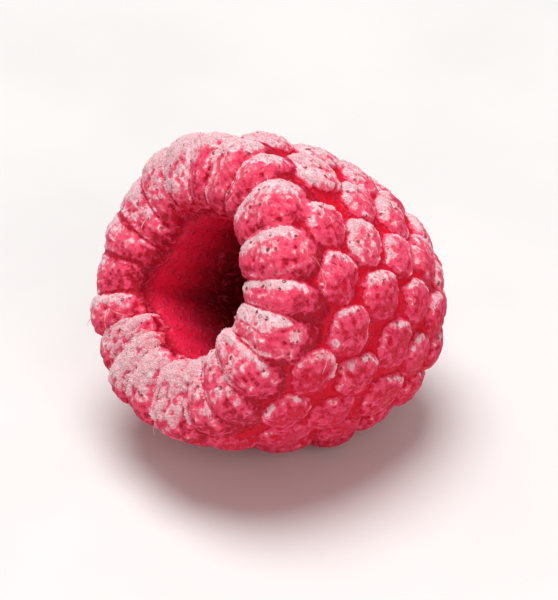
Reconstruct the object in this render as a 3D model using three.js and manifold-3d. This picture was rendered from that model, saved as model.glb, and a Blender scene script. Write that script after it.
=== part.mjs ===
// Raspberry, picked and frozen: one aggregate fruit, whose drupelets have grown together round the
// hollow that the stalk's core left behind. It lies on its side with the mouth of the hollow raised,
// on the small flat spot that its own weight pressed into it.
// Millimetres, +Z up. The mouth looks towards -Y and up. The origin is on the surface that the fruit
// lies on, under the middle of its box.
import * as THREE from 'three';
import { mergeVertices } from 'three/addons/utils/BufferGeometryUtils.js';
import Module from 'manifold-3d';

// The whole fruit
const FRUIT_WIDTH = 18.2; // over the drupelets, at the widest place
const FRUIT_LENGTH = 17.9; // from the lip of the mouth to the tip
const SHOULDER_DEPTH = 4.5; // from the lip to the widest place
const MOUTH_RISE = THREE.MathUtils.degToRad(28); // how far the mouth looks up from level
const FLAT_DEPTH = 0.6; // what lying on the surface has pressed off the lowest drupelets

// The hollow
const HOLLOW_RADIUS = 4.2; // just inside the lip
const HOLLOW_END_RADIUS = 2.9; // where its round end begins
const HOLLOW_SIDE_DEPTH = 9.2; // from the lip to the round end
const HOLLOW_DEPTH = 12.2; // from the lip to the bottom
const HOLLOW_FLUTES = 17; // shallow lobes that the drupelets' inner ends leave in its wall
const FLUTE_HEIGHT = 0.16;
const HOLLOW_FLARE = 0.2; // how much wider the cut is where it leaves the lip
// The mouth isn't round: it runs out to a point on one side, and its wall swells in on both sides of it.
const MOUTH_SWELLS = [
  { turn: THREE.MathUtils.degToRad(152), outwards: 0.95, spread: THREE.MathUtils.degToRad(16) },
  { turn: THREE.MathUtils.degToRad(114), outwards: -0.55, spread: THREE.MathUtils.degToRad(20) },
  { turn: THREE.MathUtils.degToRad(190), outwards: -0.6, spread: THREE.MathUtils.degToRad(22) },
];
const SWELL_AT_DEPTH = 0.35; // the share of those swells that is left where the round end begins
const SWELL_OF_RIM = 0.65; // the share that the rim drupelets' inner ends follow

// The drupelets on the outside
const DRUPELETS = 96;
const FIRST_TURN = THREE.MathUtils.degToRad(120); // of the drupelet at the tip, round the axis
const DRUPELET_WIDTH = 3.08; // typical, before each one's own size
const DRUPELET_HALF_DEPTH = 2.1;
const DRUPELET_SIZES = [0.86, 1.14]; // smallest and largest, as shares of the typical
const TIP_SIZE = 0.88; // typical at the tip, where they are smallest
const SHOULDER_SIZE = 1.12; // and next to the rim
const DRUPELET_STRETCH = [0.98, 1.08];
const DRUPELET_RISE = [-0.12, 0.12]; // how far each stands over or under the oval
const DRUPELET_LEAN = [-0.35, 0.35]; // each one's own turn about its outward line, in radians
const GROOVE_DEPTH = 0.95; // from the drupelets' tops down to the flesh that joins them
const LOWEST_SWING = THREE.MathUtils.degToRad(-3.6); // the row next to the rim, as an angle on the oval

// The ring of long drupelets that folds over the lip
const RIM_DRUPELETS = 20;
const RIM_START = THREE.MathUtils.degToRad(5); // where the first one begins, round the axis
const RIM_SHARES = [0.72, 1.28]; // narrowest and widest, as shares of the typical
const RIM_RADIUS = 6.35; // of the circle through their middles
const RIM_CENTRE_DEPTH = 2;
const RIM_WANDER = [-0.15, 0.15]; // of each middle, outwards and in depth
const RIM_HALF_LENGTH = 2.25; // along the fruit's radius
const RIM_HALF_DEPTH = 2.05; // along the fruit's axis
const RIM_OVERLAP = 1.16; // each one's width, as a share of its own part of the ring
const LIP_GROOVE_DEPTH = 0.5; // from the rim's crests down to the flesh that joins them

// How the drupelets find their places
const GOLDEN_ANGLE = Math.PI * (3 - Math.sqrt(5));
const SETTLING_ROUNDS = 90;
const SETTLING_GAIN = 0.25; // share of each overlap that one round pushes out
const RIM_GUARD = { inset: 0.4, depth: 1.8, size: 0.6 }; // a ring of points that keeps them off the rim

// Pillows: 2 is an ellipsoid, and more is squarer, like a kernel of maize
const PILLOW_POWER = 2.7;
const RIM_PILLOW_POWER = 2.9;
const SIDES = 8;
const RINGS = 5;
const RIM_RINGS = 6;

const wasm = await Module();
wasm.setup();

// Random draws come from one seeded sequence, so that every build gives the same fruit.
let drawState = 3462;
function draw([low, high]) {
  drawState = (drawState * 1664525 + 1013904223) % 4294967296;
  return low + ((high - low) * drawState) / 4294967296;
}

// The fruit's own frame has its axis along Y, with the mouth at the top and the lip at y = 0.
// The outside is an oval: its middle is at the shoulder, and swing is 0 there and 90 degrees at the tip.
const OVAL_RADIUS = FRUIT_WIDTH / 2;
const OVAL_REACH = FRUIT_LENGTH - SHOULDER_DEPTH;
const OVAL_POWER = 2.25; // 2 is an ellipse, and more is blunter at the tip

const signedPower = (base, power) => Math.sign(base) * Math.abs(base) ** power;

function ovalPoint(swing, turn, sunk = 0) {
  const out = (OVAL_RADIUS - sunk) * Math.cos(swing) ** (2 / OVAL_POWER);
  const down = (OVAL_REACH - sunk) * signedPower(Math.sin(swing), 2 / OVAL_POWER);
  return new THREE.Vector3(out * Math.cos(turn), -SHOULDER_DEPTH - down, out * Math.sin(turn));
}

function ovalNormal(swing, turn) {
  const out = Math.cos(swing) ** (2 - 2 / OVAL_POWER) / OVAL_RADIUS;
  const down = signedPower(Math.sin(swing), 2 - 2 / OVAL_POWER) / OVAL_REACH;
  return new THREE.Vector3(out * Math.cos(turn), -down, out * Math.sin(turn)).normalize();
}

// How far the mouth's wall stands out from a round one, at a turn round the axis.
function mouthSwell(turn) {
  return MOUTH_SWELLS.reduce((sum, swell) => {
    const away = Math.atan2(Math.sin(turn - swell.turn), Math.cos(turn - swell.turn));
    return sum + swell.outwards * Math.exp(-((away / swell.spread) ** 2));
  }, 0);
}

// A closed geometry as a solid that can be joined and cut.
function solidOf(geometry) {
  const bare = geometry.clone();
  bare.deleteAttribute('normal');
  bare.deleteAttribute('uv');
  const merged = mergeVertices(bare, 1e-4);
  return new wasm.Manifold(new wasm.Mesh({
    numProp: 3,
    vertProperties: new Float32Array(merged.attributes.position.array),
    triVerts: new Uint32Array(merged.index.array),
  }));
}

// Moves every point of a geometry to where the rule puts it.
function reshape(geometry, rule) {
  const place = geometry.attributes.position;
  for (let i = 0; i < place.count; i += 1) {
    place.setXYZ(i, ...rule(place.getX(i), place.getY(i), place.getZ(i)));
  }
  return geometry;
}

// A soft, squarish lump with its middle at the origin: the form of one drupelet.
function pillow(halfWidth, halfHeight, halfDepth, power, rings) {
  const lump = new THREE.SphereGeometry(1, SIDES, rings).rotateX(Math.PI / 2);
  return reshape(lump, (x, y, z) => {
    const sum = Math.abs(x) ** power + Math.abs(y) ** power + Math.abs(z) ** power;
    const swell = sum ** (-1 / power);
    return [x * swell * halfWidth, y * swell * halfHeight, z * swell * halfDepth];
  });
}

// The rim's drupelets stand side by side round the mouth, and share it unevenly.
function rimPlaces() {
  const shares = Array.from({ length: RIM_DRUPELETS }, () => draw(RIM_SHARES));
  const whole = shares.reduce((sum, share) => sum + share, 0);
  let end = RIM_START;
  return shares.map((share) => {
    const halfArc = (Math.PI * share) / whole;
    const turn = end + halfArc;
    const reach = RIM_RADIUS + draw(RIM_WANDER);
    const depth = RIM_CENTRE_DEPTH + draw(RIM_WANDER);
    end += 2 * halfArc;
    return { turn, halfArc, reach, depth };
  });
}

// The others start on a golden-angle spiral from the tip, and push each other until all have room.
function settledPlaces(rim) {
  const crowd = Array.from({ length: DRUPELETS }, (_, i) => {
    const share = (i + 0.5) / DRUPELETS;
    const swing = Math.asin(1 - (1 - Math.sin(LOWEST_SWING)) * share);
    const typical = THREE.MathUtils.lerp(TIP_SIZE, SHOULDER_SIZE, share);
    return { swing, turn: FIRST_TURN + i * GOLDEN_ANGLE, size: typical * draw(DRUPELET_SIZES) };
  });
  const guardReach = OVAL_RADIUS - RIM_GUARD.inset;
  const guards = rim.map(({ turn }) => ({
    point: new THREE.Vector3(guardReach * Math.cos(turn), -RIM_GUARD.depth, guardReach * Math.sin(turn)),
    size: RIM_GUARD.size,
  }));
  for (let round = 0; round < SETTLING_ROUNDS; round += 1) {
    const points = crowd.map(({ swing, turn, size }) => ({ point: ovalPoint(swing, turn), size }));
    crowd.forEach((one, i) => {
      const here = points[i].point;
      const moved = here.clone();
      for (const other of [...points, ...guards]) {
        if (other === points[i]) continue;
        const apart = here.distanceTo(other.point);
        const room = (DRUPELET_WIDTH * (one.size + other.size)) / 2;
        if (apart < room) {
          moved.addScaledVector(here.clone().sub(other.point), (SETTLING_GAIN * (room - apart)) / apart);
        }
      }
      const out = (Math.hypot(moved.x, moved.z) / OVAL_RADIUS) ** (OVAL_POWER / 2);
      const down = signedPower((-moved.y - SHOULDER_DEPTH) / OVAL_REACH, OVAL_POWER / 2);
      one.swing = Math.max(LOWEST_SWING, Math.atan2(down, out));
      one.turn = Math.atan2(moved.z, moved.x);
    });
  }
  return crowd;
}

// One drupelet of the outside, standing square to the oval with its top on it.
function outerDrupelet({ swing, turn, size }) {
  const halfWidth = (DRUPELET_WIDTH / 2) * size * draw(DRUPELET_STRETCH);
  const halfHeight = (DRUPELET_WIDTH / 2) * size * draw(DRUPELET_STRETCH);
  const lump = pillow(halfWidth, halfHeight, DRUPELET_HALF_DEPTH, PILLOW_POWER, RINGS);
  const outward = ovalNormal(swing, turn);
  const around = new THREE.Vector3(-outward.z, 0, outward.x).normalize();
  const along = new THREE.Vector3().crossVectors(outward, around);
  const middle = ovalPoint(swing, turn).addScaledVector(outward, draw(DRUPELET_RISE) - DRUPELET_HALF_DEPTH);
  const basis = new THREE.Matrix4().makeBasis(around, along, outward).setPosition(middle);
  return lump.rotateZ(draw(DRUPELET_LEAN)).applyMatrix4(basis);
}

// One drupelet of the rim: a pillow wrapped round the axis, so that it is wider at its outer end. Its
// inner end follows the mouth's wall.
function rimDrupelet({ turn, halfArc, reach, depth }) {
  const lump = pillow(RIM_HALF_LENGTH, halfArc * RIM_OVERLAP, RIM_HALF_DEPTH, RIM_PILLOW_POWER, RIM_RINGS);
  return reshape(lump, (out, arc, up) => {
    const angle = turn - arc;
    const inner = (1 - out / RIM_HALF_LENGTH) / 2;
    const away = reach + out + SWELL_OF_RIM * mouthSwell(angle) * inner;
    return [away * Math.cos(angle), up - depth, away * Math.sin(angle)];
  });
}

// The flesh that joins the drupelets: the oval sunk by the groove's depth, closed by a round lip.
function joiningFlesh() {
  const SEGMENTS = 20;
  const OVAL_STEPS = 7;
  const LIP_STEPS = 5;
  const profile = [new THREE.Vector2(0, -RIM_CENTRE_DEPTH)];
  for (let step = 0; step < LIP_STEPS; step += 1) {
    const angle = Math.PI * (1 - step / LIP_STEPS);
    profile.push(new THREE.Vector2(
      RIM_RADIUS + (RIM_HALF_LENGTH - LIP_GROOVE_DEPTH / 2) * Math.cos(angle),
      -RIM_CENTRE_DEPTH + (RIM_HALF_DEPTH - LIP_GROOVE_DEPTH) * Math.sin(angle),
    ));
  }
  for (let step = 0; step < OVAL_STEPS; step += 1) {
    const swing = THREE.MathUtils.lerp(LOWEST_SWING, Math.PI / 2, step / OVAL_STEPS);
    const point = ovalPoint(swing, 0, GROOVE_DEPTH);
    profile.push(new THREE.Vector2(point.x, point.y));
  }
  profile.push(new THREE.Vector2(0, -FRUIT_LENGTH + GROOVE_DEPTH));
  return new THREE.LatheGeometry(profile.reverse(), SEGMENTS);
}

// What the stalk's core leaves behind: a fluted thimble, from above the lip to the round bottom.
function hollow() {
  const BENDS = 3;
  const ABOVE_LIP = 1;
  const profile = [new THREE.Vector2(0, -HOLLOW_DEPTH)];
  for (let bend = 1; bend <= BENDS; bend += 1) {
    const angle = (bend / BENDS) * (Math.PI / 2);
    const down = HOLLOW_SIDE_DEPTH + (HOLLOW_DEPTH - HOLLOW_SIDE_DEPTH) * Math.cos(angle);
    profile.push(new THREE.Vector2(HOLLOW_END_RADIUS * Math.sin(angle), -down));
  }
  profile.push(new THREE.Vector2(HOLLOW_RADIUS, -RIM_CENTRE_DEPTH));
  profile.push(new THREE.Vector2(HOLLOW_RADIUS + HOLLOW_FLARE, ABOVE_LIP));
  profile.push(new THREE.Vector2(0, ABOVE_LIP));
  return reshape(new THREE.LatheGeometry(profile, HOLLOW_FLUTES * 2), (x, y, z) => {
    const turn = Math.atan2(z, x);
    const deep = THREE.MathUtils.clamp(-y / HOLLOW_SIDE_DEPTH, 0, 1);
    const kept = THREE.MathUtils.lerp(1, SWELL_AT_DEPTH, deep);
    const outwards = FLUTE_HEIGHT * Math.cos(HOLLOW_FLUTES * turn) + kept * mouthSwell(turn);
    const swell = 1 + outwards / HOLLOW_RADIUS;
    return [x * swell, y, z * swell];
  });
}

const raspberry = new THREE.Mesh(
  new THREE.BufferGeometry(),
  new THREE.MeshStandardMaterial({ color: 0xc2183c, roughness: 0.55, metalness: 0 }),
);
raspberry.name = 'raspberry';
raspberry.rotation.x = Math.PI - MOUTH_RISE;

// The fruit is raised until only its flat spot is left under the surface that it lies on.
const spanPower = OVAL_POWER / (OVAL_POWER - 1);
const lengthwise = (OVAL_REACH * Math.sin(MOUTH_RISE)) ** spanPower;
const crosswise = (OVAL_RADIUS * Math.cos(MOUTH_RISE)) ** spanPower;
const ovalHalfHeight = (lengthwise + crosswise) ** (1 / spanPower);
const ovalMiddle = new THREE.Vector3(0, -SHOULDER_DEPTH, 0).applyEuler(raspberry.rotation);
raspberry.position.z = ovalHalfHeight - FLAT_DEPTH - ovalMiddle.z;
raspberry.updateMatrix();

const rim = rimPlaces();
const lumps = [...settledPlaces(rim).map(outerDrupelet), ...rim.map(rimDrupelet)];
const underSurface = new THREE.BoxGeometry(4 * FRUIT_WIDTH, 4 * FRUIT_LENGTH, FRUIT_WIDTH)
  .translate(0, 0, -FRUIT_WIDTH / 2)
  .applyMatrix4(raspberry.matrix.clone().invert());
let fruit = solidOf(joiningFlesh());
for (const lump of lumps) fruit = fruit.add(solidOf(lump));
fruit = fruit.subtract(solidOf(hollow())).subtract(solidOf(underSurface));

const made = fruit.getMesh();
raspberry.geometry.setAttribute('position', new THREE.BufferAttribute(made.vertProperties, 3));
raspberry.geometry.setIndex(new THREE.BufferAttribute(made.triVerts, 1));
raspberry.geometry.computeVertexNormals();

// The box's middle stands over the origin.
const boxMiddle = new THREE.Box3().setFromObject(raspberry, true).getCenter(new THREE.Vector3());
raspberry.position.x -= boxMiddle.x;
raspberry.position.y -= boxMiddle.y;

const part = new THREE.Group();
part.add(raspberry);

export default part;
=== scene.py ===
# Raspberry, picked and frozen: the fruit with its drupelets and its open hollow, the frost that has
# grown on it, and the few fine hairs that every raspberry carries.
import math

import bpy
import numpy as np
from mathutils import Matrix, Vector, noise


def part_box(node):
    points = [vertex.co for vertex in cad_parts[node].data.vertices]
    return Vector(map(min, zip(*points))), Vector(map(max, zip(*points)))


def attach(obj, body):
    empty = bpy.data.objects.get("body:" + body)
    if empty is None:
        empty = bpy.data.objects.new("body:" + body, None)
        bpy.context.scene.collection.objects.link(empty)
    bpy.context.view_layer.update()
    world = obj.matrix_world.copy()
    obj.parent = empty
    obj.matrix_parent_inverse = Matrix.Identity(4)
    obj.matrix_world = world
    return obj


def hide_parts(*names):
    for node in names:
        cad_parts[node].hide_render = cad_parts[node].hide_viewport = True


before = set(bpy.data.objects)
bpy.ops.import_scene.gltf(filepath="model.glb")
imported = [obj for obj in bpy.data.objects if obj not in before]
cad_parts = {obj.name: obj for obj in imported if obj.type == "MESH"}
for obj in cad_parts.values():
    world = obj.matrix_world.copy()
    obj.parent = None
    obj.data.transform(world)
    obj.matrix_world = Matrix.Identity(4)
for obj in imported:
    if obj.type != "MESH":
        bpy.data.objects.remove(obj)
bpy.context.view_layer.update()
bpy.ops.object.select_all(action="DESELECT")


# The places of the drupelets.
# A raspberry is one fruit grown from some hundred small ones. A ring of long drupelets folds over the
# lip of the mouth, and the others crowd over an oval until each has room. Millimetres, in the fruit's
# own frame: its axis is Y, the mouth is at the top and the lip at y = 0.
FRUIT_WIDTH = 18.2
FRUIT_LENGTH = 17.9
SHOULDER_DEPTH = 4.5  # from the lip to the widest place
MOUTH_RISE = math.radians(28)  # how far the mouth looks up from level
FLAT_DEPTH = 0.6  # what lying on the surface has pressed off the lowest drupelets
OVAL_RADIUS = FRUIT_WIDTH / 2
OVAL_REACH = FRUIT_LENGTH - SHOULDER_DEPTH
OVAL_POWER = 2.25  # 2 is an ellipse, and more is blunter at the tip
DRUPELETS = 96
FIRST_TURN = math.radians(120)  # of the drupelet at the tip, round the axis
DRUPELET_WIDTH = 3.08  # typical, before each one's own size
DRUPELET_HALF_DEPTH = 2.1
DRUPELET_SIZES = (0.86, 1.14)  # smallest and largest, as shares of the typical
TIP_SIZE = 0.88  # typical at the tip, where they are smallest
SHOULDER_SIZE = 1.12  # and next to the rim
DRUPELET_STRETCH = (0.98, 1.08)
DRUPELET_RISE = (-0.12, 0.12)  # how far each stands over or under the oval
DRUPELET_LEAN = (-0.35, 0.35)  # each one's own turn about its outward line, in radians
LOWEST_SWING = math.radians(-3.6)  # the row next to the rim, as an angle on the oval
RIM_DRUPELETS = 20
RIM_START = math.radians(5)  # where the first one begins, round the axis
RIM_SHARES = (0.72, 1.28)  # narrowest and widest, as shares of the typical
RIM_RADIUS = 6.35  # of the circle through their middles
RIM_CENTRE_DEPTH = 2
RIM_WANDER = (-0.15, 0.15)  # of each middle, outwards and in depth
GOLDEN_ANGLE = math.pi * (3 - math.sqrt(5))
SETTLING_ROUNDS = 90
SETTLING_GAIN = 0.25  # share of each overlap that one round pushes out
RIM_GUARD_INSET = 0.4  # a ring of points keeps the others off the rim
RIM_GUARD_DEPTH = 1.8
RIM_GUARD_SIZE = 0.6

# Random draws come from one seeded sequence, the same one that places them in the solid.
draw_state = 3462


def draw(limits):
    global draw_state
    draw_state = (draw_state * 1664525 + 1013904223) % 4294967296
    return limits[0] + (limits[1] - limits[0]) * draw_state / 4294967296


def signed_power(base, power):
    return np.sign(base) * np.abs(base) ** power


def oval_points(swing, turn, sunk=0.0):
    out = (OVAL_RADIUS - sunk) * np.cos(swing) ** (2 / OVAL_POWER)
    down = SHOULDER_DEPTH + (OVAL_REACH - sunk) * signed_power(np.sin(swing), 2 / OVAL_POWER)
    return np.stack((out * np.cos(turn), -down, out * np.sin(turn)), axis=-1)


def oval_normals(swing, turn):
    out = np.cos(swing) ** (2 - 2 / OVAL_POWER) / OVAL_RADIUS
    down = signed_power(np.sin(swing), 2 - 2 / OVAL_POWER) / OVAL_REACH
    across = np.stack((out * np.cos(turn), -down, out * np.sin(turn)), axis=-1)
    return across / np.linalg.norm(across, axis=-1, keepdims=True)


# The rim's drupelets stand side by side round the mouth, and share it unevenly.
shares = np.array([draw(RIM_SHARES) for _ in range(RIM_DRUPELETS)])
rim_half_arc = math.pi * shares / shares.sum()
rim_turn = RIM_START + 2 * np.cumsum(rim_half_arc) - rim_half_arc
rim_wander = np.array([draw(RIM_WANDER) for _ in range(2 * RIM_DRUPELETS)])
rim_reach = RIM_RADIUS + rim_wander[0::2]
rim_depth = RIM_CENTRE_DEPTH + rim_wander[1::2]

# The others start on a golden-angle spiral from the tip, and push each other until all have room.
order = np.arange(DRUPELETS)
swing = np.arcsin(1 - (1 - math.sin(LOWEST_SWING)) * (order + 0.5) / DRUPELETS)
turn = FIRST_TURN + order * GOLDEN_ANGLE
typical = TIP_SIZE + (SHOULDER_SIZE - TIP_SIZE) * (order + 0.5) / DRUPELETS
size = typical * np.array([draw(DRUPELET_SIZES) for _ in order])
guard_reach = OVAL_RADIUS - RIM_GUARD_INSET
guards = np.stack((
    guard_reach * np.cos(rim_turn),
    np.full(RIM_DRUPELETS, -float(RIM_GUARD_DEPTH)),
    guard_reach * np.sin(rim_turn),
), axis=-1)
sizes = np.concatenate((size, np.full(RIM_DRUPELETS, RIM_GUARD_SIZE)))
for settling_round in range(SETTLING_ROUNDS):
    points = oval_points(swing, turn)
    apart = points[:, None] - np.concatenate((points, guards))[None]
    distance = np.linalg.norm(apart, axis=-1)
    room = DRUPELET_WIDTH * (size[:, None] + sizes[None]) / 2
    crowded = (distance < room) & (distance > 0)
    push = np.where(crowded, SETTLING_GAIN * (room - distance) / np.where(crowded, distance, 1), 0)
    moved = points + (apart * push[..., None]).sum(axis=1)
    out = (np.hypot(moved[:, 0], moved[:, 2]) / OVAL_RADIUS) ** (OVAL_POWER / 2)
    down = signed_power((-moved[:, 1] - SHOULDER_DEPTH) / OVAL_REACH, OVAL_POWER / 2)
    swing = np.maximum(LOWEST_SWING, np.arctan2(down, out))
    turn = np.arctan2(moved[:, 2], moved[:, 0])

# Each one's own width, height, rise and lean
outer_draws = np.array([
    [draw(DRUPELET_STRETCH), draw(DRUPELET_STRETCH), draw(DRUPELET_RISE), draw(DRUPELET_LEAN)]
    for _ in order
])


# The drupelets.
# Each is a thin-skinned, juicy lump with one seed, squarish because its neighbours press on it. They
# are modelled as one soft block, and each copy takes its own size, turn and lean.
PILLOW_POWER = 2.7  # 2 is an ellipsoid, and more is squarer, like a kernel of maize
RIM_PILLOW_POWER = 2.9
CROWN_WIDTH = 0.96 * DRUPELET_WIDTH  # the ice has drawn them in a little
PRESSING_NEIGHBOURS = 5  # the nearest ones, which decide how far it has swollen
MOST_SWOLLEN = 1.16
RIM_HALF_LENGTH = 2.25  # along the fruit's radius
RIM_HALF_DEPTH = 2.05  # along the fruit's axis
RIM_OVERLAP = 1.16  # each one's width, as a share of its own part of the ring
# The mouth isn't round: it runs out to a point on one side, and its wall swells in on both sides of it.
MOUTH_SWELLS = (  # where round the axis, how far outwards, and its spread
    (math.radians(152), 0.8, math.radians(16)),
    (math.radians(114), -0.55, math.radians(20)),
    (math.radians(190), -0.6, math.radians(22)),
)
SWELL_OF_RIM = 0.75  # the share that the rim drupelets' inner ends follow
BLOCK_CUTS = 13


def read_points(piece):
    places = np.empty(len(piece.data.vertices) * 3)
    piece.data.vertices.foreach_get("co", places)
    return places.reshape(-1, 3)


def write_points(piece, places):
    piece.data.vertices.foreach_set("co", np.ascontiguousarray(places, dtype=np.float32).ravel())
    piece.data.update()


def soft_block(name, power):
    bpy.ops.mesh.primitive_cube_add(size=2)
    block = bpy.context.object
    block.name = name
    bpy.ops.object.mode_set(mode="EDIT")
    bpy.ops.mesh.subdivide(number_cuts=BLOCK_CUTS)
    bpy.ops.object.mode_set(mode="OBJECT")
    even = np.tan(read_points(block) * math.pi / 4)
    write_points(block, even / (np.abs(even) ** power).sum(axis=1, keepdims=True) ** (1 / power))
    return block


def copy_of(block, name, places):
    lump = block.copy()
    lump.data = block.data.copy()
    lump.name = name
    bpy.context.collection.objects.link(lump)
    write_points(lump, places)
    return lump


def turn_from(middle, turn):
    return (turn - middle + math.pi) % (2 * math.pi) - math.pi


def mound(away, spread):
    return np.exp(-((away / spread) ** 2))


def mouth_swell(turn):
    outwards = 0
    for swell_turn, swell_outwards, swell_spread in MOUTH_SWELLS:
        outwards = outwards + swell_outwards * mound(turn_from(swell_turn, turn), swell_spread)
    return outwards


outer_block = soft_block("outer_block", PILLOW_POWER)
rim_block = soft_block("rim_block", RIM_PILLOW_POWER)
outer_form = read_points(outer_block)
rim_form = read_points(rim_block)

# Where its neighbours leave it room, a drupelet has swollen to fill it.
points = oval_points(swing, turn)
distance = np.linalg.norm(points[:, None] - np.concatenate((points, guards))[None], axis=-1)
looseness = np.sort(distance / room, axis=1)[:, 1:PRESSING_NEIGHBOURS + 1].mean(axis=1)
swollen = np.clip(looseness, 1, MOST_SWOLLEN)
outward = oval_normals(swing, turn)
around = np.stack((-outward[:, 2], np.zeros(DRUPELETS), outward[:, 0]), axis=-1)
around /= np.linalg.norm(around, axis=-1, keepdims=True)
along = np.cross(outward, around)
lean_cos = np.cos(outer_draws[:, 3:4])
lean_sin = np.sin(outer_draws[:, 3:4])
wide_line = around * lean_cos + along * lean_sin
high_line = along * lean_cos - around * lean_sin
half_wide = CROWN_WIDTH / 2 * size * swollen * outer_draws[:, 0]
half_high = CROWN_WIDTH / 2 * size * swollen * outer_draws[:, 1]
middles = oval_points(swing, turn) + outward * (outer_draws[:, 2:3] - DRUPELET_HALF_DEPTH)

lumps = []
for i in order:
    form = outer_form * (half_wide[i], half_high[i], DRUPELET_HALF_DEPTH)
    lumps.append(copy_of(
        outer_block,
        f"drupelet_{i}",
        middles[i] + form @ np.stack((wide_line[i], high_line[i], outward[i])),
    ))
for i in range(RIM_DRUPELETS):
    angle = rim_turn[i] - rim_form[:, 1] * rim_half_arc[i] * RIM_OVERLAP
    inner = (1 - rim_form[:, 0]) / 2
    out = rim_reach[i] + rim_form[:, 0] * RIM_HALF_LENGTH + SWELL_OF_RIM * mouth_swell(angle) * inner
    height = rim_form[:, 2] * RIM_HALF_DEPTH - rim_depth[i]
    lumps.append(copy_of(
        rim_block,
        f"rim_drupelet_{i}",
        np.stack((out * np.cos(angle), height, out * np.sin(angle)), axis=-1),
    ))
bpy.data.objects.remove(outer_block)
bpy.data.objects.remove(rim_block)


# The flesh.
# The drupelets have grown together at their feet, round the hollow that the stalk's core left. They
# are joined by a turned body of flesh, the hollow and the flat spot are cut out of it, and the skin
# is drawn over all of it, so that the valleys are soft.
GROOVE_DEPTH = 0.78  # from the drupelets' tops down to the flesh that joins them
LIP_GROOVE_DEPTH = 0.5  # the same on the rim
SHALLOW_LIP_TURN = math.radians(175)  # where the rim's grooves are shallowest, round the axis
SHALLOW_LIP_SPREAD = math.radians(48)
SHALLOW_LIP_RISE = 0.32
LIP_RADIUS = 4.0  # the cut keeps clear of the rim drupelets' round inner ends
CUT_ABOVE_LIP = 1
HOLLOW_RADIUS = 4.2  # below the lip
HOLLOW_WIDE_DEPTH = 5.5  # where it is that wide
HOLLOW_END_RADIUS = 2.9  # where its round end begins
HOLLOW_SIDE_DEPTH = 9.2  # from the lip to the round end
HOLLOW_DEPTH = 12.2  # from the lip to the bottom
HOLLOW_FLUTES = 17  # shallow lobes that the drupelets' inner ends leave in its wall
FLUTE_HEIGHT = 0.1
FLUTES_BEGIN = 1.2  # below the lip
FLUTES_FULL_AFTER = 1.6
SWELL_AT_DEPTH = 0.35  # the share of the mouth's swells that is left where the round end begins
WALL_FOLD_TURN = math.radians(153)
WALL_FOLD_DEPTH = 0.32
WALL_FOLD_SPREAD = math.radians(4)
LIP_STEPS = 9
OVAL_STEPS = 19
HOLLOW_STEPS = 9
FLESH_SIDES = 96
HOLLOW_SIDES = 180
RINGS_A_STEP = 4
FIRST_SKIN = 0.16  # the remesh's steps
LAST_SKIN = 0.152
SKIN_SMOOTHING = 3
TINY = 0.001
MILLIMETRE = 0.001


def turned(name, profile, segments):
    bpy.ops.mesh.primitive_uv_sphere_add(segments=segments, ring_count=RINGS_A_STEP * len(profile))
    piece = bpy.context.object
    piece.name = name
    ball = read_points(piece)
    step = np.arccos(np.clip(ball[:, 2], -1, 1)) / math.pi * (len(profile) - 1)
    steps = np.arange(len(profile))
    out = np.interp(step, steps, [spot[0] for spot in profile])
    height = np.interp(step, steps, [spot[1] for spot in profile])
    angle = -np.arctan2(ball[:, 1], ball[:, 0])
    write_points(piece, np.stack((out * np.cos(angle), height, out * np.sin(angle)), axis=-1))
    return piece


def apply_modifier(piece, kind, **settings):
    bpy.ops.object.select_all(action="DESELECT")
    piece.select_set(True)
    bpy.context.view_layer.objects.active = piece
    modifier = piece.modifiers.new(kind.lower(), kind)
    for setting, value in settings.items():
        setattr(modifier, setting, value)
    bpy.ops.object.modifier_apply(modifier=modifier.name)


joint_profile = [(0, -RIM_CENTRE_DEPTH)]
for step in range(LIP_STEPS):
    angle = math.pi * (1 - step / LIP_STEPS)
    joint_profile.append((
        RIM_RADIUS + (RIM_HALF_LENGTH - LIP_GROOVE_DEPTH / 2) * math.cos(angle),
        -RIM_CENTRE_DEPTH + (RIM_HALF_DEPTH - LIP_GROOVE_DEPTH) * math.sin(angle),
    ))
for angle in np.linspace(LOWEST_SWING, math.pi / 2, OVAL_STEPS):
    joint_profile.append(tuple(oval_points(angle, 0.0, GROOVE_DEPTH)[:2]))
joint_profile[-1] = (0, -FRUIT_LENGTH + GROOVE_DEPTH)
fruit = turned("raspberry_fruit", joint_profile, FLESH_SIDES)

# On the mouth's pointed side the rim's drupelets have grown together almost to their crests, so the
# lip's round section is thicker there.
flesh_points = read_points(fruit)
flesh_turn = np.arctan2(flesh_points[:, 2], flesh_points[:, 0])
rise = SHALLOW_LIP_RISE * mound(turn_from(SHALLOW_LIP_TURN, flesh_turn), SHALLOW_LIP_SPREAD)
rise *= np.clip((flesh_points[:, 1] + SHOULDER_DEPTH) / RIM_CENTRE_DEPTH, 0, 1)
from_axis = np.hypot(flesh_points[:, 0], flesh_points[:, 2])
off_ring = np.stack((from_axis - RIM_RADIUS, flesh_points[:, 1] + RIM_CENTRE_DEPTH), axis=-1)
off_ring /= np.maximum(np.linalg.norm(off_ring, axis=1, keepdims=True), TINY)
widening = 1 + rise * off_ring[:, 0] / np.maximum(from_axis, TINY)
flesh_points *= np.stack((widening, np.ones(len(widening)), widening), axis=-1)
flesh_points[:, 1] += rise * off_ring[:, 1] * (from_axis > LIP_RADIUS)
write_points(fruit, flesh_points)

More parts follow.
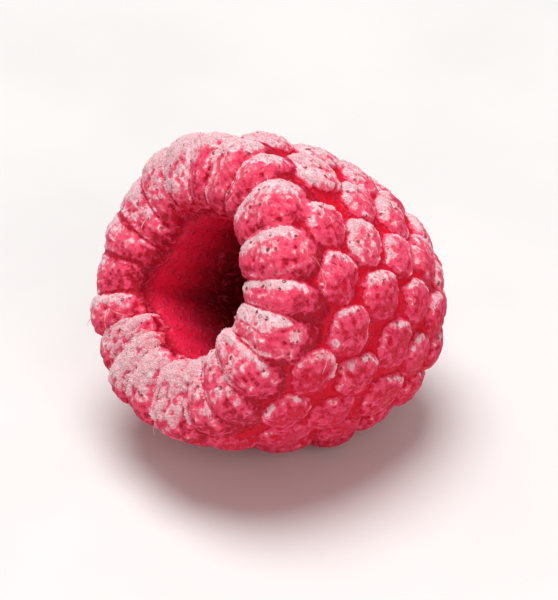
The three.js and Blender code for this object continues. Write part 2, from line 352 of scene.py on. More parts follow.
# What the stalk's core leaves behind: a fluted thimble, from above the lip to the round bottom.
hollow_profile = [(0, CUT_ABOVE_LIP), (LIP_RADIUS, CUT_ABOVE_LIP)]
for share in np.linspace(0, 1, HOLLOW_STEPS):
    widening = (HOLLOW_RADIUS - LIP_RADIUS) * (1 - math.cos(math.pi * share)) / 2
    depth = RIM_CENTRE_DEPTH + (HOLLOW_WIDE_DEPTH - RIM_CENTRE_DEPTH) * share
    hollow_profile.append((LIP_RADIUS + widening, -depth))
for angle in np.linspace(math.pi / 2, 0, HOLLOW_STEPS):
    hollow_profile.append((
        HOLLOW_END_RADIUS * math.sin(angle),
        -HOLLOW_SIDE_DEPTH - (HOLLOW_DEPTH - HOLLOW_SIDE_DEPTH) * math.cos(angle),
    ))
hollow_profile[-1] = (0, -HOLLOW_DEPTH)
hollow = turned("hollow", hollow_profile, HOLLOW_SIDES)
walls = read_points(hollow)


def wall_outwards(turn, depth):
    under_lip = np.clip((depth - FLUTES_BEGIN) / FLUTES_FULL_AFTER, 0, 1)
    kept = 1 - (1 - SWELL_AT_DEPTH) * np.clip(depth / HOLLOW_SIDE_DEPTH, 0, 1)
    fold = WALL_FOLD_DEPTH * mound(turn - WALL_FOLD_TURN, WALL_FOLD_SPREAD)
    return kept * mouth_swell(turn) + under_lip * (FLUTE_HEIGHT * np.cos(HOLLOW_FLUTES * turn) + fold)


swell = 1 + wall_outwards(np.arctan2(walls[:, 2], walls[:, 0]), -walls[:, 1]) / HOLLOW_RADIUS
write_points(hollow, walls * np.stack((swell, np.ones(len(swell)), swell), axis=-1))

bpy.ops.object.select_all(action="DESELECT")
for lump in lumps:
    lump.select_set(True)
fruit.select_set(True)
bpy.context.view_layer.objects.active = fruit
bpy.ops.object.join()
apply_modifier(fruit, "REMESH", mode="VOXEL", voxel_size=FIRST_SKIN, adaptivity=0)
apply_modifier(fruit, "BOOLEAN", operation="DIFFERENCE", object=hollow, solver="MANIFOLD")
bpy.data.objects.remove(hollow)

# The fruit is laid on its side, and raised until only its flat spot is under the surface.
lay = np.array(Matrix.Rotation(math.pi - MOUTH_RISE, 3, "X"))
span_power = OVAL_POWER / (OVAL_POWER - 1)
lengthwise = (OVAL_REACH * math.sin(MOUTH_RISE)) ** span_power
crosswise = (OVAL_RADIUS * math.cos(MOUTH_RISE)) ** span_power
oval_half_height = (lengthwise + crosswise) ** (1 / span_power)
oval_middle = lay @ (0, -SHOULDER_DEPTH, 0)
lift = oval_half_height - FLAT_DEPTH - oval_middle[2]
write_points(fruit, read_points(fruit) @ lay.T + (0, 0, lift))
bpy.ops.mesh.primitive_cube_add(size=1, location=(0, 0, -FRUIT_WIDTH / 2))
under = bpy.context.object
under.scale = (4 * FRUIT_WIDTH, 4 * FRUIT_LENGTH, FRUIT_WIDTH)
bpy.ops.object.transform_apply(location=True, rotation=False, scale=True)
apply_modifier(fruit, "BOOLEAN", operation="DIFFERENCE", object=under, solver="MANIFOLD")
bpy.data.objects.remove(under)
apply_modifier(fruit, "REMESH", mode="VOXEL", voxel_size=LAST_SKIN, adaptivity=0)
apply_modifier(fruit, "SMOOTH", factor=0.5, iterations=SKIN_SMOOTHING)

# Which drupelet each point belongs to, and where on it: 0 at the crown's middle and 1 at its edge.
RIM_CAP_REACH = math.radians(110)  # from a rim drupelet's crest to its cap's end
WRINKLE_SPACING = 1.0
RIM_WRINKLE_SPACING = 0.8
RIM_WRINKLE_LENGTH = 2.6
WRINKLE_SETS_APART = 10  # so that each rim drupelet has its own wrinkles
FAR_OFF = 9.0
skin = read_points(fruit)
own_frame = (skin - (0, 0, lift)) @ lay
own_turn = np.arctan2(own_frame[:, 2], own_frame[:, 0])
out_from_axis = np.hypot(own_frame[:, 0], own_frame[:, 2])
nearest = np.full(len(skin), FAR_OFF)
crown = np.full(len(skin), FAR_OFF)
owner = np.zeros(len(skin), dtype=int)
wrinkle_place = skin / WRINKLE_SPACING
inner_slope = np.zeros(len(skin))
for i in order:
    local = (own_frame - middles[i]) @ np.stack((wide_line[i], high_line[i], outward[i])).T
    local = np.abs(local / (half_wide[i], half_high[i], DRUPELET_HALF_DEPTH)) ** PILLOW_POWER
    level = local.sum(axis=1) ** (1 / PILLOW_POWER)
    closer = level < nearest
    nearest[closer] = level[closer]
    crown[closer] = local[closer, :2].sum(axis=1) ** (1 / PILLOW_POWER)
    owner[closer] = i
for i in range(RIM_DRUPELETS):
    inwards = SWELL_OF_RIM * mouth_swell(own_turn) / 2
    out = (out_from_axis - rim_reach[i] - inwards) / (RIM_HALF_LENGTH - inwards)
    angle = turn_from(rim_turn[i], own_turn)
    height = (own_frame[:, 1] + rim_depth[i]) / RIM_HALF_DEPTH
    local = np.stack((out, angle / (rim_half_arc[i] * RIM_OVERLAP), height), axis=-1)
    local = np.abs(local) ** RIM_PILLOW_POWER
    level = local.sum(axis=1) ** (1 / RIM_PILLOW_POWER)
    closer = level < nearest
    nearest[closer] = level[closer]
    over = np.arctan2(out * RIM_HALF_LENGTH, height * RIM_HALF_DEPTH) / RIM_CAP_REACH
    inner_slope[closer] = np.clip(-over[closer], 0, 1)
    over = np.abs(over)
    crown[closer] = (local[closer, 1] + over[closer] ** RIM_PILLOW_POWER) ** (1 / RIM_PILLOW_POWER)
    owner[closer] = DRUPELETS + i
    wrinkle_place[closer, 0] = angle[closer] * RIM_RADIUS / RIM_WRINKLE_SPACING
    wrinkle_place[closer, 1] = over[closer] * RIM_CAP_REACH * RIM_HALF_DEPTH / RIM_WRINKLE_LENGTH
    wrinkle_place[closer, 2] = WRINKLE_SETS_APART * i


def step_up(low, high, values):
    share = np.clip((values - low) / (high - low), 0, 1)
    return share * share * (3 - 2 * share)


def noise_at(places, scale, offset=0.0):
    shift = Vector((offset, 0, 0))
    return np.array([noise.noise(Vector(place) / scale + shift) for place in places.tolist()])


# Frost grows on the drupelets' crowns: most on the rim, where they face the sky and the cold side,
# and in a heavy crust where meltwater has run and frozen again. On the underside it is thinner, and
# there and low down it is also thinned as painted shade, which leaves those parts a darker red.
FROST_SIDE = np.array((-0.6, 0.05, 0.8))  # where the cold air came from
FROST_EVERYWHERE = 0.38
THINNEST_FROST = 0.14
FROST_OF_SIDE = 0.5
FROST_OF_RIM = 0.16
RIM_FACES_SIDE = (0.3, 0.9)
FROST_OF_DRUPELET = 0.11  # each one's own share, more or less
FROST_OF_PATCHES = 0.16
FROST_OF_SPECKS = 0.18
FROST_OF_CAP_EDGE = 0.3
FROST_OF_CRUST = 1.15
LESS_IN_WRINKLES = 0.22
# Less frost on the underside is partly thinner frost and partly painted shade.
LESS_FROST_AND_SHADE_ON_UNDERSIDE = 0.25
UNDERSIDE = (-0.05, -0.7)  # how far a face looks down
# Painted shade: frost taken off low on the fruit so that its lower part is a darker red.
PAINTED_SHADE_LOW_DOWN = 0.22
LOW_DOWN = (7.5, 3.5)  # above the surface that the fruit lies on
LESS_ON_INNER_SLOPE = 0.45
INNER_SLOPE = (0.3, 0.8)
LESS_AT_BARE_PLACE = 0.3
PATCH_SIZE = 2.6
SPECK_SIZE = 0.45
WRINKLE_WIDTH = 0.09
WALL_EDGE = (0.55, 0.1)  # off the wall
WALL_TOP = (0.3, 1.2)  # below the lip
WALL_BOTTOM = (HOLLOW_DEPTH + 1.2, HOLLOW_DEPTH + 0.4)
OUTER_CAP_EDGE = (0.90, 0.79)
RIM_CAP_EDGE = (1.0, 0.86)
GROOVE_EDGE = (1.08, 1.0)
RIM_GROOVE_NARROWER = 0.025
THICK_EDGE_AT = 0.72
THICK_EDGE_WIDTH = 0.1
THICK_EDGE_EVEN = 0.8  # the share of it that doesn't follow the specks
HEAVY_CRUST_EVEN = 0.65
HEAVY_CRUST_BY_SPECKS = 0.9
WALL_EDGE_BY_SPECKS = 0.3  # how far the edges wander
WALL_EDGE_BY_PATCHES = 0.2
OUTER_EDGE_BY_SPECKS = 0.06
RIM_EDGE_BY_SPECKS = 0.05
HEAVY_CRUSTS = (  # place, radius and how much
    ((7.2, -7.5, 9.3), 1.8, 0.3),
    ((8.4, -2.3, 9.4), 2.0, 0.4),
    ((2.7, -8.5, 7.7), 2.0, 0.55),
    ((-1.0, -8.5, 7.1), 2.6, 0.65),
    ((3.4, -9.1, 5.4), 2.2, 0.75),
    ((-4.6, -4.2, 15.2), 2.6, 0.22),
)
BARE_PLACE = (-5.0, -7.3, 9.8)  # where the rim's crust is thin, at the mouth's point
BARE_RADIUS = 1.7
fruit.data.update()
facing = np.empty(len(skin) * 3)
fruit.data.vertices.foreach_get("normal", facing)
facing = facing.reshape(-1, 3)
rng = np.random.default_rng(5)
drupelet_frost = rng.uniform(-FROST_OF_DRUPELET, FROST_OF_DRUPELET, DRUPELETS + RIM_DRUPELETS)
drupelet_dimple = rng.uniform(0, 1, DRUPELETS + RIM_DRUPELETS)
wrinkle = mound(noise_at(wrinkle_place, 1, offset=80), WRINKLE_WIDTH)
patches = noise_at(skin, PATCH_SIZE)
specks = noise_at(skin, SPECK_SIZE, offset=20)

# The hollow's wall carries no frost, nor do the grooves.
on_rim = (owner >= DRUPELETS).astype(float)
below_lip = -own_frame[:, 1]
wall_depths = [-spot[1] for spot in hollow_profile[1:]]
wall_radii = [spot[0] for spot in hollow_profile[1:]]
wall_radius = np.interp(below_lip, wall_depths, wall_radii)
wall_radius = wall_radius * (1 + wall_outwards(own_turn, below_lip) / HOLLOW_RADIUS)
off_the_wall = out_from_axis - wall_radius
off_the_wall = off_the_wall + WALL_EDGE_BY_SPECKS * specks + WALL_EDGE_BY_PATCHES * patches
in_hollow = step_up(*WALL_EDGE, off_the_wall) * step_up(*WALL_TOP, below_lip)
in_hollow *= step_up(*WALL_BOTTOM, below_lip)
outer_cap = step_up(*OUTER_CAP_EDGE, crown + OUTER_EDGE_BY_SPECKS * specks)
rim_cap = step_up(*RIM_CAP_EDGE, crown + RIM_EDGE_BY_SPECKS * specks)
cap = np.where(on_rim > 0, rim_cap, outer_cap)
cap = cap * step_up(*GROOVE_EDGE, nearest - RIM_GROOVE_NARROWER * on_rim)
thick_edge = mound(crown - THICK_EDGE_AT, THICK_EDGE_WIDTH)

# The crusts' places are in the finished fruit's frame, where it sits on its own middle.
seat = np.array(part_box("raspberry")) / MILLIMETRE


def slide_to_seat(places):
    return (seat.sum(axis=0) - places.min(axis=0) - places.max(axis=0)) / 2 * (1, 1, 0)


seated = skin + slide_to_seat(skin)
heavy = np.zeros(len(skin))
for crust_place, crust_radius, crust_amount in HEAVY_CRUSTS:
    off = np.linalg.norm(seated - crust_place, axis=1)
    heavy = np.maximum(heavy, crust_amount * mound(off, crust_radius))
bare = mound(np.linalg.norm(seated - BARE_PLACE, axis=1), BARE_RADIUS)

cold_side = facing @ FROST_SIDE
frost = FROST_EVERYWHERE + FROST_OF_SIDE * cold_side
frost += FROST_OF_RIM * on_rim * step_up(*RIM_FACES_SIDE, cold_side)
frost += drupelet_frost[owner]
frost += (
    FROST_OF_PATCHES * patches + FROST_OF_SPECKS * specks
    + FROST_OF_CAP_EDGE * thick_edge * (THICK_EDGE_EVEN + specks) - LESS_IN_WRINKLES * wrinkle
)
# Painted shade: the underside and the low parts lose frost and turn a darker red (on the underside partly
# thinner frost too).
frost -= (
    LESS_FROST_AND_SHADE_ON_UNDERSIDE * step_up(*UNDERSIDE, facing[:, 2])
    + PAINTED_SHADE_LOW_DOWN * step_up(*LOW_DOWN, skin[:, 2])
)
frost += (
    FROST_OF_CRUST * heavy * (HEAVY_CRUST_EVEN + HEAVY_CRUST_BY_SPECKS * specks)
    - LESS_AT_BARE_PLACE * bare - LESS_ON_INNER_SLOPE * step_up(*INNER_SLOPE, inner_slope)
)
frost = np.clip(frost, THINNEST_FROST, 1) * cap * (1 - in_hollow)

# The crowns are a little uneven and some have sunk in the middle, and the crust has a thickness.
CRUST_THICKNESS = 0.05
CRUST_GRAIN = 0.065
CRUST_GRAIN_SIZE = 0.3
GRAIN_WITHOUT_FROST = 0.3
GRAIN_OF_HEAVY_CRUST = 0.8
GRAIN_IN_FROST = 0.22
DIMPLE_DEPTH = 0.16
DIMPLE_WIDTH = 0.45
WRINKLE_DEPTH = 0.08
EDGE_HEIGHT = 0.05
UNEVENNESS = 0.06
UNEVEN_SIZE = 1.5
RELIEF_BEGINS = (0.02, 0.3)  # above the surface that it lies on
crust_grain = noise_at(skin, CRUST_GRAIN_SIZE, offset=40)
grain_height = CRUST_GRAIN * (GRAIN_WITHOUT_FROST + frost + GRAIN_OF_HEAVY_CRUST * heavy)
relief = CRUST_THICKNESS * frost + grain_height * crust_grain * cap
relief += UNEVENNESS * noise_at(skin, UNEVEN_SIZE, offset=60) * cap
dimple = drupelet_dimple[owner] * mound(crown, DIMPLE_WIDTH)
cap_form = EDGE_HEIGHT * thick_edge - DIMPLE_DEPTH * dimple - WRINKLE_DEPTH * wrinkle
relief += cap_form * cap * (1 - in_hollow)
frost = np.clip(frost + GRAIN_IN_FROST * crust_grain * (frost > 0), 0, 1)
skin = skin + facing * (relief * step_up(*RELIEF_BEGINS, skin[:, 2]))[:, None]
write_points(fruit, (skin + slide_to_seat(skin)) * MILLIMETRE)

# What the colours follow: the frost, the hollow's depth, which also darkens its deep part as painted
# shade, and the clear valleys.
VALLEY_EDGE = (0.86, 1.04)
INNER_VALLEY = (0.25, 0.7)
LESS_VALLEY_ON_RIM = 0.6
valley = step_up(*VALLEY_EDGE, np.maximum(crown, nearest)) * (1 - LESS_VALLEY_ON_RIM * on_rim)
skin_values = {
    "frost": frost,
    "depth": np.clip(-own_frame[:, 1] / HOLLOW_DEPTH, 0, 1) * in_hollow,
    "valley": np.maximum(valley, step_up(*INNER_VALLEY, inner_slope)) * (1 - in_hollow),
}
for name, values in skin_values.items():
    layer = fruit.data.attributes.new(name, "FLOAT", "POINT")
    layer.data.foreach_set("value", values.astype(np.float32))
fruit.data.polygons.foreach_set("use_smooth", [True] * len(fruit.data.polygons))


def new_material(name):
    material = bpy.data.materials.new(name)
    material.use_nodes = True
    return material, material.node_tree, material.node_tree.nodes["Principled BSDF"].inputs


def attribute_node(tree, name):
    node = tree.nodes.new("ShaderNodeAttribute")
    node.attribute_name = name
    return node.outputs["Fac"]


def object_place(tree):
    return tree.nodes.new("ShaderNodeTexCoord").outputs["Object"]


def maths(tree, operation, *values):
    node = tree.nodes.new("ShaderNodeMath")
    node.operation = operation
    for socket, value in zip(node.inputs, values):
        if isinstance(value, (int, float)):
            socket.default_value = value
        else:
            tree.links.new(value, socket)
    return node.outputs[0]


def stretched(tree, value, low, high, to_low=0.0, to_high=1.0):
    node = tree.nodes.new("ShaderNodeMapRange")
    node.interpolation_type = "SMOOTHSTEP"
    tree.links.new(value, node.inputs["Value"])
    for name, number in zip(("From Min", "From Max", "To Min", "To Max"), (low, high, to_low, to_high)):
        node.inputs[name].default_value = number
    return node.outputs["Result"]


def mixed(tree, factor, first, second):
    node = tree.nodes.new("ShaderNodeMix")
    node.data_type = "RGBA"
    tree.links.new(factor, node.inputs["Factor"])
    for name, value in (("A", first), ("B", second)):
        socket = next(s for s in node.inputs if s.name == name and s.type == "RGBA")
        if isinstance(value, tuple):
            socket.default_value = (*value, 1)
        else:
            tree.links.new(value, socket)
    return next(s for s in node.outputs if s.type == "RGBA")


def noise_node(tree, place, scale, detail=3.0):
    node = tree.nodes.new("ShaderNodeTexNoise")
    tree.links.new(place, node.inputs["Vector"])
    node.inputs["Scale"].default_value = scale
    node.inputs["Detail"].default_value = detail
    return node.outputs["Fac"]


def cell_node(tree, place, scale):
    node = tree.nodes.new("ShaderNodeTexVoronoi")
    tree.links.new(place, node.inputs["Vector"])
    node.inputs["Scale"].default_value = scale
    return node.outputs["Distance"]


# Clear red flesh under rime: thin and pink where the flesh shows through it, pale where it is thick,
# and pitted, with the pits darkened as painted shade. Scales are in waves to the metre. In brackets is
# where a change begins and ends, and then, where it doesn't go from 0 to 1, what it goes from and to.
GRAIN_SCALE = 5200
CLUMP_SCALE = 2500
RIPPLE_SCALE = 1300
PIT_SCALE = 2000
RIDGE_WIDTH = (0.05, 0.0)
PIT_WIDTH = (0.32, 0.16)
PITS_AMONG_CLUMPS = (0.42, 0.48)
PITS_IN_FROST = (0.3, 0.75, 0.25)
FROST_COVERS = (0.46, 0.72)
THIN_TO_FROST = (0.64, 1.02)
FROST_TO_THICK = (0.96, 1.34)
WALL_BEGINS = (0.08, 0.2)
WALL_SHADE_DEEPENS = (0.29, 0.57)
ROUGHNESS_BY_COVER = (0.0, 0.8, 0.42, 0.8)
CLUMPS_IN_RIME = 0.8
GRAIN_IN_RIME = 0.45
RIME_LOWERED = 0.15  # so that clumps and grain together are about 0.47
RIDGES_PALER = 0.14
PITS_OPEN_COVER = 0.85
PITS_SHADE_DARKEN = 0.7
GRAIN_IN_BUMP = 0.5
BUMP_WITHOUT_COVER = 0.15
BUMP_HEIGHT = 0.00016
CLEAR_RED = (0.28, 0.003, 0.015)
# The valleys' brighter red is partly the flesh's own and partly painted glow of light shining through it.
VALLEY_GLOW_RED = (0.76, 0.002, 0.024)
WALL_RED = (0.96, 0.020, 0.085)
# painted shade: the colour that the deep part of the hollow darkens to
HOLLOW_SHADE_RED = (0.16, 0.006, 0.010)
# painted shade: the dark red of the pits
PIT_SHADE_RED = (0.20, 0.003, 0.014)
THIN_FROST = (0.84, 0.048, 0.13)
FROST = (0.92, 0.10, 0.19)
THICK_FROST = (1.0, 0.66, 0.71)

flesh, tree, finish = new_material("drupelet_flesh")
place = object_place(tree)
frost_here = attribute_node(tree, "frost")
grain = noise_node(tree, place, GRAIN_SCALE, 2)
clumps = noise_node(tree, place, CLUMP_SCALE, 3)
ripples = noise_node(tree, place, RIPPLE_SCALE, 2)
ridge = stretched(tree, maths(tree, "ABSOLUTE", maths(tree, "SUBTRACT", ripples, 0.5)), *RIDGE_WIDTH)
pit = stretched(tree, cell_node(tree, place, PIT_SCALE), *PIT_WIDTH)
pit = maths(tree, "MULTIPLY", pit, stretched(tree, clumps, *PITS_AMONG_CLUMPS))
pit = maths(tree, "MULTIPLY", pit, stretched(tree, frost_here, *PITS_IN_FROST))
uneven = maths(tree, "MULTIPLY_ADD", clumps, CLUMPS_IN_RIME, maths(tree, "MULTIPLY", grain, GRAIN_IN_RIME))
uneven = maths(tree, "SUBTRACT", uneven, RIME_LOWERED)
frost_fine = maths(tree, "ADD", frost_here, uneven)
cover = stretched(tree, frost_fine, *FROST_COVERS)
cover = maths(tree, "MULTIPLY", cover, maths(tree, "MULTIPLY_ADD", pit, -PITS_OPEN_COVER, 1.0))
pale = maths(tree, "MULTIPLY_ADD", ridge, RIDGES_PALER, frost_fine)
rime = mixed(tree, stretched(tree, pale, *THIN_TO_FROST), THIN_FROST, FROST)
rime = mixed(tree, stretched(tree, pale, *FROST_TO_THICK), rime, THICK_FROST)
# Valleys and inner slopes: own red plus a painted glow of light through the flesh.
red = mixed(tree, attribute_node(tree, "valley"), CLEAR_RED, VALLEY_GLOW_RED)
depth = attribute_node(tree, "depth")
red = mixed(tree, stretched(tree, depth, *WALL_BEGINS), red, WALL_RED)
# Painted shade: deep in the hollow the wall darkens towards a near-black red.
red = mixed(tree, stretched(tree, depth, *WALL_SHADE_DEEPENS), red, HOLLOW_SHADE_RED)
skin_colour = mixed(tree, cover, red, rime)
# Painted shade: the pits in the crust are darkened as if in shadow.
skin_colour = mixed(tree, maths(tree, "MULTIPLY", pit, PITS_SHADE_DARKEN), skin_colour, PIT_SHADE_RED)
tree.links.new(skin_colour, finish["Base Color"])
tree.links.new(stretched(tree, cover, *ROUGHNESS_BY_COVER), finish["Roughness"])
bump = tree.nodes.new("ShaderNodeBump")
bump.inputs["Distance"].default_value = BUMP_HEIGHT
bump.inputs["Strength"].default_value = 1.0
crust = maths(tree, "MULTIPLY_ADD", grain, GRAIN_IN_BUMP, clumps)
crust = maths(tree, "MULTIPLY", maths(tree, "ADD", cover, BUMP_WITHOUT_COVER), crust)
tree.links.new(crust, bump.inputs["Height"])
tree.links.new(bump.outputs["Normal"], finish["Normal"])
finish["Specular IOR Level"].default_value = 0.22
finish["Subsurface Weight"].default_value = 0.45
finish["Subsurface Radius"].default_value = (1.0, 0.14, 0.12)
finish["Subsurface Scale"].default_value = 0.0018
finish["IOR"].default_value = 1.4

fruit.data.materials.clear()
fruit.data.materials.append(flesh)
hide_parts("raspberry")
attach(fruit, "root")


# The frost's crystals.
# Ice from the freezer's damp air: grains of a tenth of a millimetre or so, grown on the crowns in a
# loose crust, longest where it is heaviest. One eight-sided grain is modelled, and each place gets
# its own form of it.
GRAINS_A_PIECE = 23000
GRAIN_HALF_SIZE = (0.04, 0.095)
GRAIN_TALL = (0.6, 1.5)  # times its half size, away from the skin
GRAIN_FORM = (0.7, 1.3)  # each corner's own reach
GRAIN_LEAN = 0.35
THIN_CRUST_GRAIN = (0.7, 0.8)  # shares of half size and height, where the crust is thin
HEAVY_CRUST_ADDS = (0.8, 0.5)
GRAINS_IN_FROST = (0.55, 1.1)
GRAINS_IN_SPECKS = (-0.5, 0.25)
GRAINS_IN_HEAVY_CRUST = 5
LOWEST_GRAIN = 0.3
SMALLEST_AREA = 1e-12
PALE_FROM_FROST = 0.5
PALE_WITH_FROST = 1.6
PALE_SPREAD = 0.15
GRAIN_COLOURS = ((0.95, 0.18, 0.29), (1.0, 0.72, 0.75))

bpy.ops.object.select_all(action="DESELECT")
bpy.ops.mesh.primitive_cone_add(vertices=4, radius1=1, radius2=0, depth=1, end_fill_type="TRIFAN")
grain_model = bpy.context.object
grain_points = read_points(grain_model)
at_the_waist = np.hypot(grain_points[:, 0], grain_points[:, 1]) > 0.5
grain_points[:, 2] = np.where(at_the_waist, 0, grain_points[:, 2] * 2)
grain_faces = np.array([list(face.vertices) for face in grain_model.data.polygons])
bpy.data.objects.remove(grain_model)

fruit.data.calc_loop_triangles()
corners = np.empty(len(fruit.data.loop_triangles) * 3, dtype=int)
fruit.data.loop_triangles.foreach_get("vertices", corners)
corners = corners.reshape(-1, 3)
shape = read_points(fruit) / MILLIMETRE
edge_a = shape[corners[:, 1]] - shape[corners[:, 0]]
edge_b = shape[corners[:, 2]] - shape[corners[:, 0]]
crossed = np.cross(edge_a, edge_b)
area = np.linalg.norm(crossed, axis=1) / 2
face_line = crossed / (2 * area[:, None] + SMALLEST_AREA)
face_frost = frost[corners].mean(axis=1)
face_heavy = heavy[corners].mean(axis=1)
face_specks = specks[corners].mean(axis=1)
face_height = shape[corners].mean(axis=1)[:, 2]
thickness = step_up(*GRAINS_IN_FROST, face_frost) * step_up(*GRAINS_IN_SPECKS, face_specks)
thickness *= (1 + GRAINS_IN_HEAVY_CRUST * face_heavy) * (face_height > LOWEST_GRAIN)

ice, tree, finish = new_material("frost_crystals")
colour = mixed(tree, attribute_node(tree, "tint"), *GRAIN_COLOURS)
tree.links.new(colour, finish["Base Color"])
finish["Roughness"].default_value = 0.45
finish["IOR"].default_value = 1.31
finish["Subsurface Weight"].default_value = 0.35
finish["Subsurface Radius"].default_value = (1.0, 0.5, 0.5)
finish["Subsurface Scale"].default_value = 0.0003


def crystals(name, chance, seed):
    rng = np.random.default_rng(seed)
    chosen = rng.choice(len(chance), size=GRAINS_A_PIECE, p=chance / chance.sum())
    across = rng.random((GRAINS_A_PIECE, 2))
    folded = across.sum(axis=1) > 1
    across[folded] = 1 - across[folded]
    centre = shape[corners[chosen, 0]] + edge_a[chosen] * across[:, :1] + edge_b[chosen] * across[:, 1:]
    half_share, tall_share = np.outer(HEAVY_CRUST_ADDS, face_heavy[chosen])
    half = rng.uniform(*GRAIN_HALF_SIZE, GRAINS_A_PIECE) * (THIN_CRUST_GRAIN[0] + half_share)
    tall = rng.uniform(*GRAIN_TALL, GRAINS_A_PIECE) * (THIN_CRUST_GRAIN[1] + tall_share)
    upright = face_line[chosen] + rng.normal(0, GRAIN_LEAN, (GRAINS_A_PIECE, 3))
    upright /= np.linalg.norm(upright, axis=1, keepdims=True)
    side = np.cross(upright, rng.normal(size=(GRAINS_A_PIECE, 3)))
    side /= np.linalg.norm(side, axis=1, keepdims=True)
    axes = np.stack((side, np.cross(upright, side), upright * tall[:, None]), axis=1)
    forms = grain_points[None] * rng.uniform(*GRAIN_FORM, (GRAINS_A_PIECE, len(grain_points), 1))
    places = (forms * half[:, None, None]) @ axes + centre[:, None]
    starts = len(grain_points) * np.arange(GRAINS_A_PIECE)
    mesh = bpy.data.meshes.new(name)
    mesh.from_pydata(
        (places.reshape(-1, 3) * MILLIMETRE).tolist(), [],
        (grain_faces[None] + starts[:, None, None]).reshape(-1, 3).tolist(),
    )
    tint = PALE_WITH_FROST * (face_frost[chosen] - PALE_FROM_FROST)
    tint = np.clip(tint + rng.normal(0, PALE_SPREAD, GRAINS_A_PIECE), 0, 1)
    layer = mesh.attributes.new("tint", "FLOAT", "POINT")
    layer.data.foreach_set("value", np.repeat(tint, len(grain_points)).astype(np.float32))
    mesh.materials.append(ice)
    piece = bpy.data.objects.new(name, mesh)
    bpy.context.collection.objects.link(piece)
    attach(piece, "root")


rim_faces = on_rim[corners].mean(axis=1)
crystals("rim_frost", area * thickness * rim_faces, 21)
crystals("crown_frost", area * thickness * (1 - rim_faces), 22)


# The fine hairs.
# Each drupelet ends in the dry style of its flower, thinner than thread. Most have broken off, and
# the rest lie bent over the crowns. One hair is modelled, and each copy takes its own bend.
HAIRS = 14
HAIR_RINGS = 10  # every edge of the straight hair is cut this often, round it too
HAIR_RADIUS = 0.028
HAIR_TIP = 0.35  # of its thickness
HAIR_LENGTH = (1.0, 1.9)
HAIR_START = math.radians(40)  # from upright
HAIR_BEND = math.radians(85)
HAIR_ROOT_DEPTH = 0.12
HAIR_ROOT_CROWN = 0.2  # it grows from the middle of a crown
LOWEST_HAIR = 3
LOWEST_FACING = -0.2  # none grows on the underside
LYING_HAIR = ((6.6, -2.5, 15.8), (7.3, -1.5, 14.9), (7.4, -2.3, 13.7))  # first, middle and last
LYING_GAP = 1.2 * HAIR_RADIUS
HAIR_COLOURS = ((0.72, 0.16, 0.17), (0.92, 0.50, 0.50))
BLOTCH_SCALE = 1500
BLOTCH_EDGE = (0.4, 0.6)

bpy.ops.mesh.primitive_cylinder_add(vertices=6, radius=1, depth=2)
hair_model = bpy.context.object
bpy.ops.object.mode_set(mode="EDIT")
bpy.ops.mesh.select_all(action="SELECT")
bpy.ops.mesh.subdivide(number_cuts=HAIR_RINGS)
bpy.ops.object.mode_set(mode="OBJECT")
hair_form = read_points(hair_model)
hair_share = (hair_form[:, 2] + 1) / 2


def on_the_skin(spot, gap):
    _, nearest_spot, outwards, _ = fruit.closest_point_on_mesh(Vector(spot) * MILLIMETRE)
    nearest_spot = np.array(nearest_spot) / MILLIMETRE
    outwards = np.array(outwards)
    clear = (np.array(spot) - nearest_spot) @ outwards
    return np.array(spot) if clear > gap else nearest_spot + outwards * gap


def bent_hair(name, line):
    line = np.array(line)
    along = np.gradient(line, axis=0)
    along /= np.linalg.norm(along, axis=1, keepdims=True)
    side = np.cross(along, line[0] - (0, 0, lift))
    side /= np.linalg.norm(side, axis=1, keepdims=True)
    other = np.cross(along, side)
    step = hair_share * (len(line) - 1)
    steps = np.arange(len(line))

    def at(rows):
        return np.stack([np.interp(step, steps, rows[:, k]) for k in range(3)], axis=-1)

    thick = HAIR_RADIUS * (1 - (1 - HAIR_TIP) * hair_share[:, None])
    places = at(line) + thick * (hair_form[:, :1] * at(side) + hair_form[:, 1:2] * at(other))
    return copy_of(hair_model, name, places * MILLIMETRE)


# Past its root a hair stays clear of the skin.
hairs = []
in_the_open = (in_hollow < 0.01) & (shape[:, 2] > LOWEST_HAIR) & (facing[:, 2] > LOWEST_FACING)
crests = np.flatnonzero((crown < HAIR_ROOT_CROWN) & in_the_open)
for i, root in enumerate(rng.choice(crests, HAIRS, replace=False)):
    sideways = np.cross(facing[root], rng.normal(size=3))
    sideways /= np.linalg.norm(sideways)
    length = rng.uniform(*HAIR_LENGTH)
    spot = shape[root] - facing[root] * HAIR_ROOT_DEPTH
    line = [spot]
    for ring in range(1, HAIR_RINGS + 2):
        angle = HAIR_START + HAIR_BEND * ring / (HAIR_RINGS + 1)
        heading = facing[root] * math.cos(angle) + sideways * math.sin(angle)
        spot = spot + heading * length / (HAIR_RINGS + 1)
        line.append(spot if ring < 2 else on_the_skin(spot, HAIR_RADIUS))
    hairs.append(bent_hair(f"hair_{i}", line))
first, middle, last = (np.array(spot) for spot in LYING_HAIR)
line = []
for share in np.linspace(0, 1, 2 * HAIR_RINGS):
    spot = (1 - share) ** 2 * first + 2 * share * (1 - share) * middle + share ** 2 * last
    line.append(on_the_skin(spot, LYING_GAP))
hairs.append(bent_hair("lying_hair", line))

bpy.data.objects.remove(hair_model)
bpy.ops.object.select_all(action="DESELECT")
for hair in hairs:
    hair.select_set(True)
bpy.context.view_layer.objects.active = hairs[0]
bpy.ops.object.join()
hairs = bpy.context.object
hairs.name = "fine_hairs"
hairs.data.polygons.foreach_set("use_smooth", [True] * len(hairs.data.polygons))
dry, tree, finish = new_material("dry_hair")
blotches = stretched(tree, noise_node(tree, object_place(tree), BLOTCH_SCALE, 2), *BLOTCH_EDGE)
tree.links.new(mixed(tree, blotches, *HAIR_COLOURS), finish["Base Color"])
finish["Roughness"].default_value = 0.6
hairs.data.materials.clear()
hairs.data.materials.append(dry)
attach(hairs, "root")


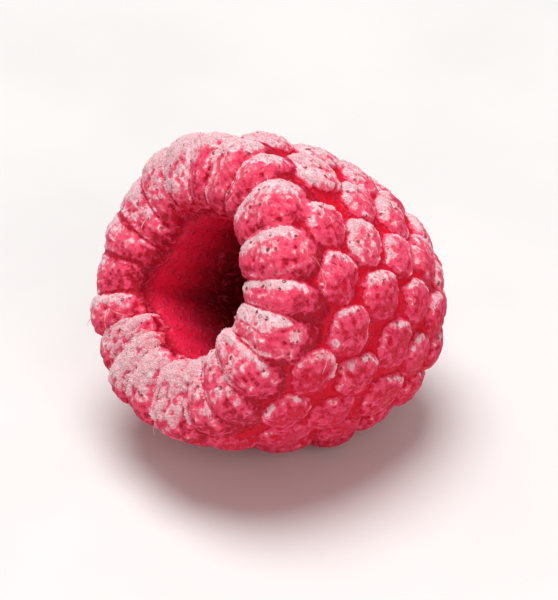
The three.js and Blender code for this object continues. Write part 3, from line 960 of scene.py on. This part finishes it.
# The surface that it lies on, the light and the camera.
# A wide pale board, a large soft lamp high overhead, a weaker one in front and to the right, and a
# pale room round them. The camera looks down at the fruit from the mouth's right.
FLOOR_SIZE = 2.0
CAMERA_TURN = math.radians(56)
CAMERA_RISE = math.radians(33)
CAMERA_DISTANCE = 0.2
CAMERA_LENS = 210
CAMERA_TARGET = Vector((0.0, 0.0, 0.0085))
LAMP_TARGET = Vector((0.0, 0.0, 0.008))
WINDOW_LAMP_PLACE = (-0.04, -0.04, 0.5)  # to the camera's right, towards it, and up
FRONT_LAMP_PLACE = (0.14, 0.44, 0.27)
BOARD_COLOURS = ((0.80, 0.79, 0.79), (0.84, 0.83, 0.83))
BOARD_SHADE_SCALE = 60
BOARD_SHADE_EDGE = (0.3, 0.7)
ROOM_COLOUR = (1.0, 0.99, 0.98)
ROOM_STRENGTH = 0.25

bpy.ops.object.select_all(action="DESELECT")
bpy.ops.mesh.primitive_plane_add(size=FLOOR_SIZE)
floor = bpy.context.object
floor.name = "floor"
paint, tree, finish = new_material("pale_board")
shade = stretched(tree, noise_node(tree, object_place(tree), BOARD_SHADE_SCALE, 4), *BOARD_SHADE_EDGE)
tree.links.new(mixed(tree, shade, *BOARD_COLOURS), finish["Base Color"])
finish["Roughness"].default_value = 0.6
floor.data.materials.append(paint)


def soft_lamp(name, steps, width, power, colour):
    place = steps[0] * right + steps[1] * level_back + Vector((0, 0, steps[2]))
    lamp = bpy.data.objects.new(name, bpy.data.lights.new(name, "AREA"))
    lamp.data.shape = "DISK"
    lamp.data.size = width
    lamp.data.energy = power
    lamp.data.color = colour
    bpy.context.collection.objects.link(lamp)
    lamp.location = place
    lamp.rotation_euler = (LAMP_TARGET - place).to_track_quat("-Z", "Y").to_euler()


back = Vector((
    math.sin(CAMERA_TURN) * math.cos(CAMERA_RISE),
    -math.cos(CAMERA_TURN) * math.cos(CAMERA_RISE),
    math.sin(CAMERA_RISE),
))
right = Vector((math.cos(CAMERA_TURN), math.sin(CAMERA_TURN), 0))
level_back = Vector((math.sin(CAMERA_TURN), -math.cos(CAMERA_TURN), 0))
soft_lamp("window_lamp", WINDOW_LAMP_PLACE, width=0.34, power=2.4, colour=(1, 0.985, 0.97))
soft_lamp("front_lamp", FRONT_LAMP_PLACE, width=0.35, power=0.8, colour=(1, 0.97, 0.95))

room = bpy.data.worlds.new("pale_room")
room.use_nodes = True
daylight = room.node_tree.nodes["Background"].inputs
daylight["Color"].default_value = (*ROOM_COLOUR, 1)
daylight["Strength"].default_value = ROOM_STRENGTH
bpy.context.scene.world = room
bpy.context.scene.view_settings.view_transform = "Standard"

camera = bpy.data.objects.new("camera", bpy.data.cameras.new("camera"))
bpy.context.collection.objects.link(camera)
camera.location = CAMERA_TARGET + CAMERA_DISTANCE * back
camera.rotation_euler = back.to_track_quat("Z", "Y").to_euler()
camera.data.lens = CAMERA_LENS
camera.data.clip_start = 0.01
bpy.context.scene.camera = camera
